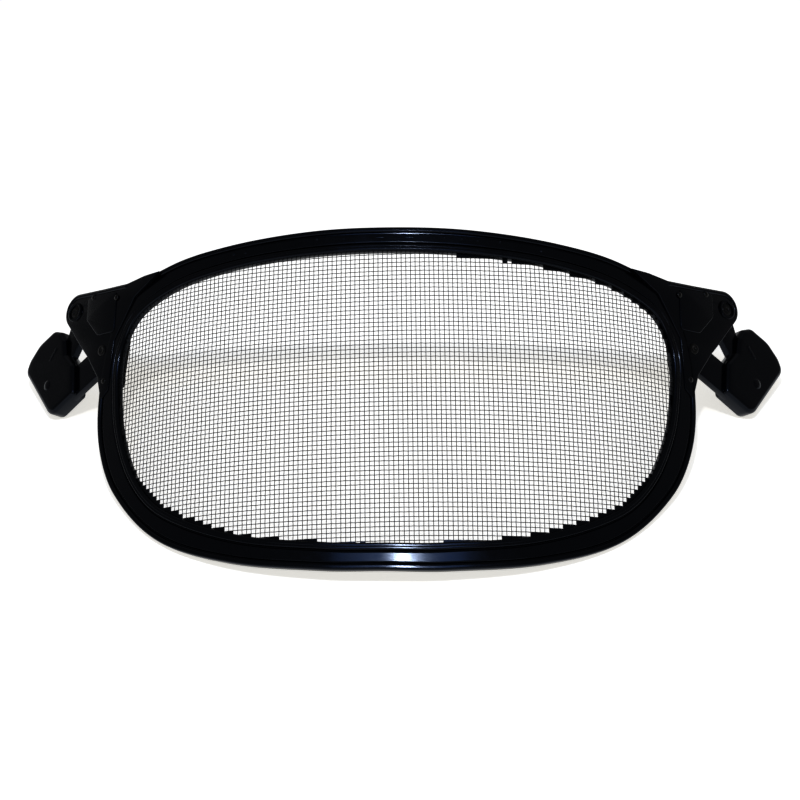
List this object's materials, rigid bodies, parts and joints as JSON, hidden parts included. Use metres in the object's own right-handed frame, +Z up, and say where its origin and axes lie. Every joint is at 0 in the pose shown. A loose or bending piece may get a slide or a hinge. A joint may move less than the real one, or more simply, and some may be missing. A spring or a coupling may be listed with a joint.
{
  "type": "mesh face visor",
  "caption": "Wire-mesh face visor for a work helmet: a bent woven screen in a black moulded rim, with a swivelling clip at each ear.",
  "frame": {"origin": "middle of the footprint, on the table the visor rests on", "axes": "+X across the face toward the right-hand clip, -Y the side the front of the screen leans to, +Z up; the visor lies face up, leaning back on its lower rim corners and its clips"},
  "size_m": [0.3622, 0.1576, 0.0993],
  "materials": {
    "black_plastic": "glossy",
    "dark_wire": "satin",
    "black_steel": "satin",
    "bright_steel": "satin"
  },
  "bodies": {
    "visor": {"rim_frame": "black_plastic", "mesh_warp_wires": "dark_wire", "mesh_weft_wires": "dark_wire", "right_pivot_pin": "black_steel", "left_pivot_pin": "black_steel", "right_wave_washer": "bright_steel", "left_wave_washer": "bright_steel", "right_flat_washer": "bright_steel", "left_flat_washer": "bright_steel", "right_push_nut": "bright_steel", "left_push_nut": "bright_steel", "right_stop_peg": "black_steel", "left_stop_peg": "black_steel", "right_keeper_plate": "black_steel", "left_keeper_plate": "black_steel", "right_keeper_rivets": "black_steel", "left_keeper_rivets": "black_steel"},
    "right_clip": {"right_clip": "black_plastic"},
    "left_clip": {"left_clip": "black_plastic"}
  },
  "joints": [
    {"name": "right_clip_pivot", "type": "hinge", "parent": "visor", "child": "right_clip", "pos_m": [0.15199, 0.0699, 0.04083], "axis": [0.6227, -0.4501, 0.64], "range_deg": [0, 105]},
    {"name": "left_clip_pivot", "type": "hinge", "parent": "visor", "child": "left_clip", "pos_m": [-0.15199, 0.0699, 0.04083], "axis": [0.6227, 0.4501, -0.64], "range_deg": [0, 105]}
  ]
}
